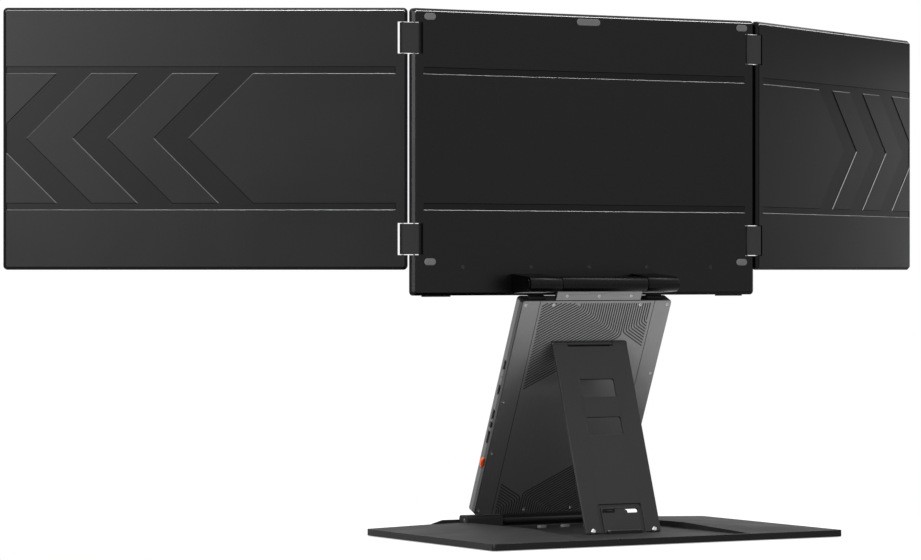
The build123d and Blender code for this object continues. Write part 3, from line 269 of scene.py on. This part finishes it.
# Brushing lines are finer than 0.1 mm; drawn at 0.5 mm they still read as a soft grain.
drawn = node(tree, "Mapping", {"vector_type": "TEXTURE"}, Vector=place, Scale=(1.0, 12.0, 12.0))
grain = node(tree, "TexNoise", Vector=drawn.outputs[0], Scale=1 / (0.5 * MM), Detail=3.0)
surface_tone = node(tree, "Mix", {"data_type": "RGBA"}, Factor=grain.outputs["Fac"], _6=linear("#8a8a8a"),
           _7=linear("#9c9c9c"))
colour = node(tree, "Mix", {"data_type": "RGBA"}, Factor=engraved_lines, _6=surface_tone.outputs[2], _7=linear("#303030"))
facing = node(tree, "TexCoord").outputs["Normal"]
rearward = node(tree, "VectorMath", {"operation": "DOT_PRODUCT"}, _0=facing,
                _1=housing_normal[:]).outputs["Value"]
upward = node(tree, "VectorMath", {"operation": "DOT_PRODUCT"}, _0=facing,
              _1=housing_along[:]).outputs["Value"]
aside = node(tree, "Math", {"operation": "LESS_THAN"}, _0=rearward, _1=0.8).outputs[0]
colour = node(tree, "Mix", {"data_type": "RGBA"}, Factor=aside, _6=colour.outputs[2], _7=linear("#6d6d6d"))
# Painted shade: within the seam's depth the side faces are painted near-black, standing for the shade in the
# step round the cover.
low = node(tree, "Math", {"operation": "GREATER_THAN"}, _0=height, _1=housing_level - seam_depth).outputs[0]
painted_seam_shade = node(tree, "Math", {"operation": "MULTIPLY"}, _0=aside, _1=low).outputs[0]
# Painted shade: the top end, under the barrel, is painted near-black.
top_end = node(tree, "Math", {"operation": "GREATER_THAN"}, _0=upward, _1=0.6).outputs[0]
painted_shade_mask = node(tree, "Math", {"operation": "MAXIMUM"}, _0=painted_seam_shade, _1=top_end).outputs[0]
colour = node(tree, "Mix", {"data_type": "RGBA"}, Factor=painted_shade_mask, _6=colour.outputs[2], _7=linear("#191919"))
shine = node(tree, "MapRange", Value=grain.outputs["Fac"], From_Min=0.3, From_Max=0.7,
             To_Min=0.3, To_Max=0.38)
darkened_areas = node(tree, "Math", {"operation": "MAXIMUM"}, _0=engraved_lines, _1=painted_shade_mask).outputs[0]
bare = node(tree, "MapRange", Value=darkened_areas, To_Min=0.85, To_Max=0.0).outputs[0]
lines = node(tree, "Bump", Strength=0.2, Distance=0.02 * MM, Height=grain.outputs["Fac"])
surface = node(tree, "BsdfPrincipled", Base_Color=colour.outputs[2], Metallic=bare,
               Roughness=shine.outputs["Result"], Normal=lines.outputs[0])
tree.links.new(surface.outputs[0], output.inputs["Surface"])
finishes["light_shell"] = material


# %% [markdown]
# ## Coated steel
# The strut, the link blocks and the brackets are steel with a fine black powder coat. The powder
# melts into a skin with shallow orange peel: dull, but with a soft highlight along every round.

# %% Powder coat
material, tree, output = new_material("powder_coated_steel")
place = node(tree, "TexCoord").outputs["Object"]
peel = node(tree, "TexNoise", Vector=place, Scale=1 / (1.1 * MM), Detail=2.0)
specks = node(tree, "TexNoise", Vector=place, Scale=1 / (0.5 * MM), Detail=1.0)
colour = node(tree, "Mix", {"data_type": "RGBA"}, Factor=specks.outputs["Fac"], _6=linear("#191919"),
              _7=linear("#272727"))
shine = node(tree, "MapRange", Value=peel.outputs["Fac"], From_Min=0.3, From_Max=0.7,
             To_Min=0.36, To_Max=0.48)
skin = node(tree, "Bump", Strength=0.3, Distance=0.03 * MM, Height=peel.outputs["Fac"])
surface = node(tree, "BsdfPrincipled", Base_Color=colour.outputs[2], Metallic=0.0,
               Roughness=shine.outputs["Result"], Specular_IOR_Level=0.32, Normal=skin.outputs[0])
tree.links.new(surface.outputs[0], output.inputs["Surface"])
finishes["dark_steel"] = material


# %% [markdown]
# The tilt barrel and its arms are turned and milled aluminium, anodised black. Turning leaves fine
# rings across the barrel's axis.

# %% Black anodised aluminium
material, tree, output = new_material("black_anodised_aluminium")
place = node(tree, "TexCoord").outputs["Object"]
rings = node(tree, "Mapping", {"vector_type": "TEXTURE"}, Vector=place, Scale=(1.0, 10.0, 10.0))
lines = node(tree, "TexNoise", Vector=rings.outputs[0], Scale=1 / (0.6 * MM), Detail=2.0)
colour = node(tree, "Mix", {"data_type": "RGBA"}, Factor=lines.outputs["Fac"], _6=linear("#191919"),
              _7=linear("#232323"))
shine = node(tree, "MapRange", Value=lines.outputs["Fac"], From_Min=0.3, From_Max=0.7,
             To_Min=0.26, To_Max=0.34)
skin = node(tree, "Bump", Strength=0.15, Distance=0.01 * MM, Height=lines.outputs["Fac"])
surface = node(tree, "BsdfPrincipled", Base_Color=colour.outputs[2], Metallic=1.0,
               Roughness=shine.outputs["Result"], Normal=skin.outputs[0])
tree.links.new(surface.outputs[0], output.inputs["Surface"])
finishes["black_anodised"] = material


# %% [markdown]
# The base has the same coat in a coarser, matter grade that hides scratches from a laptop. It is
# seen at a low angle, where a smooth coat would turn white, so its roughness is high. Along the
# rounded edges, found by the slope of the surface, the coat is painted pale as a painted highlight.

# %% Matt textured coat on the base
material, tree, output = new_material("textured_powder_coat")
place = node(tree, "TexCoord").outputs["Object"]
crumbs = node(tree, "TexNoise", Vector=place, Scale=1 / (0.9 * MM), Detail=4.0, Roughness=0.7)
wear_and_highlight_noise = node(tree, "TexNoise", Vector=place, Scale=1 / (45 * MM), Detail=4.0)
coat = node(tree, "Mix", {"data_type": "RGBA"}, Factor=crumbs.outputs["Fac"], _6=linear("#171717"),
            _7=linear("#212121"))
shine = node(tree, "MapRange", Value=wear_and_highlight_noise.outputs["Fac"], From_Min=0.3, From_Max=0.7,
             To_Min=0.62, To_Max=0.74)
skin = node(tree, "Bump", Strength=0.5, Distance=0.06 * MM, Height=crumbs.outputs["Fac"])
slope = node(tree, "SeparateXYZ", Vector=node(tree, "TexCoord").outputs["Normal"]).outputs["Z"]
off_side = node(tree, "Math", {"operation": "GREATER_THAN"}, _0=slope, _1=0.3).outputs[0]
off_top = node(tree, "Math", {"operation": "LESS_THAN"}, _0=slope, _1=0.93).outputs[0]
edge = node(tree, "Math", {"operation": "MULTIPLY"}, _0=off_side, _1=off_top).outputs[0]
up = node(tree, "SeparateXYZ", Vector=place).outputs["Z"]
in_reach = node(tree, "Math", {"operation": "LESS_THAN"}, _0=up, _1=9.5 * MM).outputs[0]
edge = node(tree, "Math", {"operation": "MULTIPLY"}, _0=edge, _1=in_reach).outputs[0]
highlight_patchiness = node(tree, "MapRange", Value=wear_and_highlight_noise.outputs["Fac"], From_Min=0.3, From_Max=0.6,
              To_Min=0.6, To_Max=1.0)
painted_edge_highlight = node(tree, "Math", {"operation": "MULTIPLY"}, _0=edge, _1=highlight_patchiness.outputs["Result"]).outputs[0]
# Painted highlight: the rounded edges below 9.5 mm are painted pale, patchy by noise.
colour = node(tree, "Mix", {"data_type": "RGBA"}, Factor=painted_edge_highlight, _6=coat.outputs[2], _7=linear("#a7a7a7"))
# The outer sides are anodised instead of coated: they lie within 1 mm of the base's outline.
rim_depth = 1 * MM
reach = node(tree, "VectorMath", {"operation": "ABSOLUTE"}, _0=place).outputs[0]
shell_points = nodes["base_top_shell"].data.vertices
outline = [max(abs(v.co[axis]) for v in shell_points) - rim_depth for axis in (0, 1)]
split = node(tree, "SeparateXYZ", Vector=reach)
at_end = node(tree, "Math", {"operation": "GREATER_THAN"}, _0=split.outputs["X"],
              _1=outline[0]).outputs[0]
at_front = node(tree, "Math", {"operation": "GREATER_THAN"}, _0=split.outputs["Y"],
                _1=outline[1]).outputs[0]
outer = node(tree, "Math", {"operation": "MAXIMUM"}, _0=at_end, _1=at_front).outputs[0]
upright = node(tree, "Math", {"operation": "LESS_THAN"}, _0=slope, _1=0.3).outputs[0]
rim = node(tree, "Math", {"operation": "MULTIPLY"}, _0=outer, _1=upright).outputs[0]
colour = node(tree, "Mix", {"data_type": "RGBA"}, Factor=rim, _6=colour.outputs[2], _7=linear("#262626"))
satin = node(tree, "Mix", {"data_type": "FLOAT"}, _0=rim, _2=shine.outputs["Result"], _3=0.4).outputs[0]
surface = node(tree, "BsdfPrincipled", Base_Color=colour.outputs[2], Metallic=rim,
               Roughness=satin, Specular_IOR_Level=0.2, Normal=skin.outputs[0])
tree.links.new(surface.outputs[0], output.inputs["Surface"])
finishes["base_coat"] = material


# %% [markdown]
# ## Metals inside and at the hinges
# Pins, lugs, sockets and screws are stainless steel. Turning and stamping leave fine lines.

# %% Stainless steel
material, tree, output = new_material("stainless_steel")
place = node(tree, "TexCoord").outputs["Object"]
turned = node(tree, "Mapping", {"vector_type": "TEXTURE"}, Vector=place, Scale=(6.0, 6.0, 1.0))
lines = node(tree, "TexNoise", Vector=turned.outputs[0], Scale=1 / (0.25 * MM), Detail=2.0)
colour = node(tree, "Mix", {"data_type": "RGBA"}, Factor=lines.outputs["Fac"], _6=linear("#b5b5b5"),
              _7=linear("#cfcfd1"))
shine = node(tree, "MapRange", Value=lines.outputs["Fac"], From_Min=0.3, From_Max=0.7,
             To_Min=0.2, To_Max=0.34)
relief = node(tree, "Bump", Strength=0.15, Distance=0.01 * MM, Height=lines.outputs["Fac"])
surface = node(tree, "BsdfPrincipled", Base_Color=colour.outputs[2], Metallic=1.0,
               Roughness=shine.outputs["Result"], Normal=relief.outputs[0])
tree.links.new(surface.outputs[0], output.inputs["Surface"])
finishes["steel"] = material

# %% [markdown]
# The screws in the dark cover are blackened: heated steel dipped in oil, nearly black with a
# faint brown cast.

# %% Blackened steel
material, tree, output = new_material("blackened_steel")
place = node(tree, "TexCoord").outputs["Object"]
cast = node(tree, "TexNoise", Vector=place, Scale=1 / (1.2 * MM), Detail=3.0)
colour = node(tree, "Mix", {"data_type": "RGBA"}, Factor=cast.outputs["Fac"], _6=linear("#2a2928"),
              _7=linear("#4b4948"))
shine = node(tree, "MapRange", Value=cast.outputs["Fac"], From_Min=0.3, From_Max=0.7,
             To_Min=0.24, To_Max=0.4)
surface = node(tree, "BsdfPrincipled", Base_Color=colour.outputs[2], Metallic=1.0,
               Roughness=shine.outputs["Result"])
tree.links.new(surface.outputs[0], output.inputs["Surface"])
finishes["blackened"] = material

# %% [markdown]
# The chassis plate and the heat spreader are milled aluminium: paler and softer than steel, with
# the parallel marks of the cutter.

# %% Milled aluminium
material, tree, output = new_material("milled_aluminium")
place = node(tree, "TexCoord").outputs["Object"]
cutter = node(tree, "TexWave", {"wave_type": "BANDS", "bands_direction": "Z"}, Vector=place,
              Scale=1 / (6 * MM), Distortion=1.5, Detail=2.0)
colour = node(tree, "Mix", {"data_type": "RGBA"}, Factor=cutter.outputs["Fac"], _6=linear("#c2c3c5"),
              _7=linear("#d2d3d5"))
shine = node(tree, "MapRange", Value=cutter.outputs["Fac"], To_Min=0.28, To_Max=0.38)
surface = node(tree, "BsdfPrincipled", Base_Color=colour.outputs[2], Metallic=1.0,
               Roughness=shine.outputs["Result"])
tree.links.new(surface.outputs[0], output.inputs["Surface"])
finishes["bare_aluminium"] = material


# %% [markdown]
# ## Plastics and rubber
# The bezels are moulded in black ABS against a spark-eroded tool, which leaves an even fine
# texture. The button shares it.

# %% Textured ABS
material, tree, output = new_material("abs_black")
place = node(tree, "TexCoord").outputs["Object"]
erosion = node(tree, "TexVoronoi", Vector=place, Scale=1 / (0.7 * MM))
colour = node(tree, "Mix", {"data_type": "RGBA"}, Factor=erosion.outputs["Distance"], _6=linear("#141414"),
              _7=linear("#1b1b1b"))
shine = node(tree, "MapRange", Value=erosion.outputs["Distance"], To_Min=0.42, To_Max=0.56)
texture = node(tree, "Bump", Strength=0.25, Distance=0.02 * MM, Height=erosion.outputs["Distance"])
surface = node(tree, "BsdfPrincipled", Base_Color=colour.outputs[2], Metallic=0.0,
               Roughness=shine.outputs["Result"], Normal=texture.outputs[0])
tree.links.new(surface.outputs[0], output.inputs["Surface"])
finishes["black_plastic"] = material

# %% [markdown]
# The grip mat, the pads and the grommets are black silicone rubber: very matt, a little dusty,
# and paler where it has been touched.

# %% Rubber
material, tree, output = new_material("silicone_rubber_black")
place = node(tree, "TexCoord").outputs["Object"]
bloom = node(tree, "TexNoise", Vector=place, Scale=1 / (9 * MM), Detail=5.0)
colour = node(tree, "Mix", {"data_type": "RGBA"}, Factor=bloom.outputs["Fac"], _6=linear("#121212"),
              _7=linear("#222222"))
fine = node(tree, "TexNoise", Vector=place, Scale=1 / (0.6 * MM), Detail=2.0)
skin = node(tree, "Bump", Strength=0.3, Distance=0.03 * MM, Height=fine.outputs["Fac"])
surface = node(tree, "BsdfPrincipled", Base_Color=colour.outputs[2], Metallic=0.0, Roughness=0.85,
               Specular_IOR_Level=0.3, Normal=skin.outputs[0])
tree.links.new(surface.outputs[0], output.inputs["Surface"])
finishes["rubber"] = material

# %% [markdown]
# The bumpers are a softer grey thermoplastic rubber.

# %% Grey rubber
material, tree, output = new_material("thermoplastic_rubber_grey")
place = node(tree, "TexCoord").outputs["Object"]
dust = node(tree, "TexNoise", Vector=place, Scale=1 / (2.5 * MM), Detail=4.0)
colour = node(tree, "Mix", {"data_type": "RGBA"}, Factor=dust.outputs["Fac"], _6=linear("#5e5e5e"),
              _7=linear("#6c6c6c"))
skin = node(tree, "Bump", Strength=0.25, Distance=0.04 * MM, Height=dust.outputs["Fac"])
surface = node(tree, "BsdfPrincipled", Base_Color=colour.outputs[2], Metallic=0.0, Roughness=0.75,
               Specular_IOR_Level=0.3, Normal=skin.outputs[0])
tree.links.new(surface.outputs[0], output.inputs["Surface"])
finishes["grey_rubber"] = material

# %% [markdown]
# The dial is turned from orange acetal, a waxy plastic with a soft gloss.

# %% Orange acetal
material, tree, output = new_material("acetal_orange")
place = node(tree, "TexCoord").outputs["Object"]
flow = node(tree, "TexNoise", Vector=place, Scale=1 / (3 * MM), Detail=2.0)
colour = node(tree, "Mix", {"data_type": "RGBA"}, Factor=flow.outputs["Fac"], _6=linear("#d94f14"),
              _7=linear("#e8621f"))
shine = node(tree, "MapRange", Value=flow.outputs["Fac"], From_Min=0.3, From_Max=0.7,
             To_Min=0.3, To_Max=0.4)
surface = node(tree, "BsdfPrincipled", Base_Color=colour.outputs[2], Metallic=0.0,
               Roughness=shine.outputs["Result"], Subsurface_Weight=0.1, Subsurface_Scale=0.5 * MM)
tree.links.new(surface.outputs[0], output.inputs["Surface"])
finishes["orange"] = material


# %% [markdown]
# ## Display and electronics
# The panel carries an anti-glare film, which blurs what it mirrors, over black glass. Behind it
# the light guide is clear white acrylic. The boards have a green solder mask over glass cloth,
# whose weave shows faintly, and the chips are black epoxy.

# %% Anti-glare panel
material, tree, output = new_material("anti_glare_panel")
place = node(tree, "TexCoord").outputs["Object"]
haze = node(tree, "TexNoise", Vector=place, Scale=1 / (0.5 * MM), Detail=2.0)
smears = node(tree, "TexNoise", Vector=place, Scale=1 / (70 * MM), Detail=4.0, Distortion=0.6)
shine = node(tree, "MapRange", Value=smears.outputs["Fac"], From_Min=0.35, From_Max=0.7,
             To_Min=0.16, To_Max=0.26)
film = node(tree, "Bump", Strength=0.05, Distance=0.01 * MM, Height=haze.outputs["Fac"])
surface = node(tree, "BsdfPrincipled", Base_Color=linear("#090909"), Metallic=0.0,
               Roughness=shine.outputs["Result"], Normal=film.outputs[0])
tree.links.new(surface.outputs[0], output.inputs["Surface"])
finishes["display"] = material

# %% Acrylic light guide
material, tree, output = new_material("acrylic_light_guide")
place = node(tree, "TexCoord").outputs["Object"]
dots = node(tree, "TexVoronoi", Vector=place, Scale=1 / (1.5 * MM))
colour = node(tree, "Mix", {"data_type": "RGBA"}, Factor=dots.outputs["Distance"], _6=linear("#e8ebef"),
              _7=linear("#d9dde3"))
surface = node(tree, "BsdfPrincipled", Base_Color=colour.outputs[2], Metallic=0.0, Roughness=0.3)
tree.links.new(surface.outputs[0], output.inputs["Surface"])
finishes["backlight"] = material

# %% Circuit board
material, tree, output = new_material("green_solder_mask")
place = node(tree, "TexCoord").outputs["Object"]
weave = node(tree, "TexChecker", Vector=place, Scale=1 / (0.5 * MM))
colour = node(tree, "Mix", {"data_type": "RGBA"}, Factor=weave.outputs["Fac"], _6=linear("#0f3d22"),
              _7=linear("#134628"))
cloth = node(tree, "Bump", Strength=0.1, Distance=0.02 * MM, Height=weave.outputs["Fac"])
surface = node(tree, "BsdfPrincipled", Base_Color=colour.outputs[2], Metallic=0.0, Roughness=0.32,
               Normal=cloth.outputs[0])
tree.links.new(surface.outputs[0], output.inputs["Surface"])
finishes["circuit"] = material

# %% Chip epoxy
material, tree, output = new_material("moulded_epoxy")
place = node(tree, "TexCoord").outputs["Object"]
filler = node(tree, "TexNoise", Vector=place, Scale=1 / (0.2 * MM), Detail=2.0)
colour = node(tree, "Mix", {"data_type": "RGBA"}, Factor=filler.outputs["Fac"], _6=linear("#101010"),
              _7=linear("#1b1b1b"))
surface = node(tree, "BsdfPrincipled", Base_Color=colour.outputs[2], Metallic=0.0, Roughness=0.5)
tree.links.new(surface.outputs[0], output.inputs["Surface"])
finishes["chip"] = material
print(len(finishes), "finishes")


# %% [markdown]
# ## Finishes on the nodes
# Each node takes the finish of its slot in the record. The covers have one finish per screen,
# because each looks along its own normal. The base has its coarser coat, and the barrel and its
# arms are anodised.

# %% Assign
own_finish = {"base_top_shell": "base_coat", "foot_stop": "base_coat", "base_hinge_blocks": "base_coat",
              "tilt_arms": "black_anodised", "tilt_tube": "black_anodised",
              "tilt_end_caps": "black_anodised"}
slot_of = {part["node"]: part["material_slot"] for part in frame["record"]["subparts"]}
for name, part in nodes.items():
    key = slot_of[name]
    if key == "shell":
        key = name.split("_")[0] + "_shell"
    key = own_finish.get(name, key)
    part.data.materials.clear()
    part.data.materials.append(finishes[key])
print(len(nodes), "nodes finished")


# %% [markdown]
# ## Eased edges
# No real edge is sharp: moulds, deburring and coating all round it. CAD leaves edges sharp, so a
# bevel is added on top of each mesh. The weld first joins the corners that the CAD mesh keeps
# apart, or the bevel would see no edge between two faces.

# %% Bevels
edge_angle = radians(30)
weld_reach = 0.002 * MM


def ease(name, width):
    """Rounds the edges of a CAD node by a width in millimetres."""
    part = nodes[name]
    weld = part.modifiers.new("weld", "WELD")
    weld.merge_threshold = weld_reach
    bevel = part.modifiers.new("ease", "BEVEL")
    bevel.width = width * MM
    bevel.segments = 3
    bevel.limit_method = "ANGLE"
    bevel.angle_limit = edge_angle
    bevel.harden_normals = True
    bevel.use_clamp_overlap = True


eased = {
    "base_top_shell": 0.7, "base_hinge_blocks": 0.3, "foot_stop": 0.5, "strut_plate": 0.55,
    "tilt_arms": 1.0, "tilt_tube": 0.3, "tilt_bracket": 0.2, "lower_bracket": 0.3,
    "right_hinge_links": 0.25, "left_hinge_links": 0.25, "power_button": 0.2,
    "cable_grommets": 0.3, "tilt_end_caps": 0.4, "pocket_bumpers": 0.25, "center_bottom_pads": 0.3,
}
for name, width in eased.items():
    ease(name, width)
print(len(eased), "nodes eased")


# %% [markdown]
# ## Screws
# A screw is turned as a body of revolution, then a hexagon socket is punched into its flat head.
# The rings below follow that shape: six-sided inside the socket, round outside. The places come
# from the CAD screws, whose plain heads are replaced.

# %% Screws with hexagon sockets
def socket_screws(name, along, finish_key, body):
    """Replaces the CAD screws of a node by screws with sockets, in the same places."""
    mesh = nodes[name].data
    source = bmesh.new()
    source.from_mesh(mesh)
    bmesh.ops.remove_doubles(source, verts=source.verts, dist=weld_reach)
    # The corners are visited in the mesh's own order, so that every run gives the same screws.
    found = set()
    islands = []
    for start in source.verts:
        if start in found:
            continue
        found.add(start)
        stack, island = [start], []
        while stack:
            vert = stack.pop()
            island.append(vert.co.copy())
            for edge in vert.link_edges:
                other = edge.other_vert(vert)
                if other not in found:
                    found.add(other)
                    stack.append(other)
        islands.append(island)
    source.free()
    turn = along.to_track_quat("Z", "Y").to_matrix()
    segments = 24
    socket = 0.72 * MM
    face_edge = 1.38 * MM
    head = 1.5 * MM
    head_bottom = -0.8 * MM
    shank = 0.7 * MM
    screws = bmesh.new()
    for island in islands:
        top = max(co.dot(along) for co in island)
        length = top - min(co.dot(along) for co in island)
        rim = [co for co in island if top - co.dot(along) < 0.01 * MM]
        middle = sum(rim, Vector()) / len(rim)
        rings = [(socket, -0.5 * MM, True), (socket, -0.06 * MM, True), (socket * 1.12, 0, True),
                 (face_edge, 0, False), (head, -0.12 * MM, False), (head, head_bottom, False),
                 (shank, head_bottom, False), (shank, -length, False)]
        loops = []
        for radius, drop, six_sided in rings:
            loop = []
            for i in range(segments):
                angle = 2 * pi * i / segments
                r = radius
                if six_sided:
                    r = radius * cos(pi / 6) / cos(angle % (pi / 3) - pi / 6)
                point = Vector((r * cos(angle), r * sin(angle), drop))
                loop.append(screws.verts.new(middle + turn @ point))
            loops.append(loop)
        for inner, outer in zip(loops, loops[1:]):
            for i in range(segments):
                j = (i + 1) % segments
                screws.faces.new((inner[i], outer[i], outer[j], inner[j]))
        screws.faces.new(list(reversed(loops[0])))
        screws.faces.new(loops[-1])
    bmesh.ops.recalc_face_normals(screws, faces=screws.faces)
    made = bpy.data.meshes.new(name + "_socket")
    screws.to_mesh(made)
    screws.free()
    piece = bpy.data.objects.new(name + "_socket", made)
    scene.collection.objects.link(piece)
    made.materials.append(finishes[finish_key])
    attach(piece, body)
    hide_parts(name)
    print(name, len(islands), "screws")


socket_screws("housing_screws", housing_normal, "steel", "housing")
socket_screws("center_cover_screws", Vector((0, 1, 0)), "blackened", "center_screen")
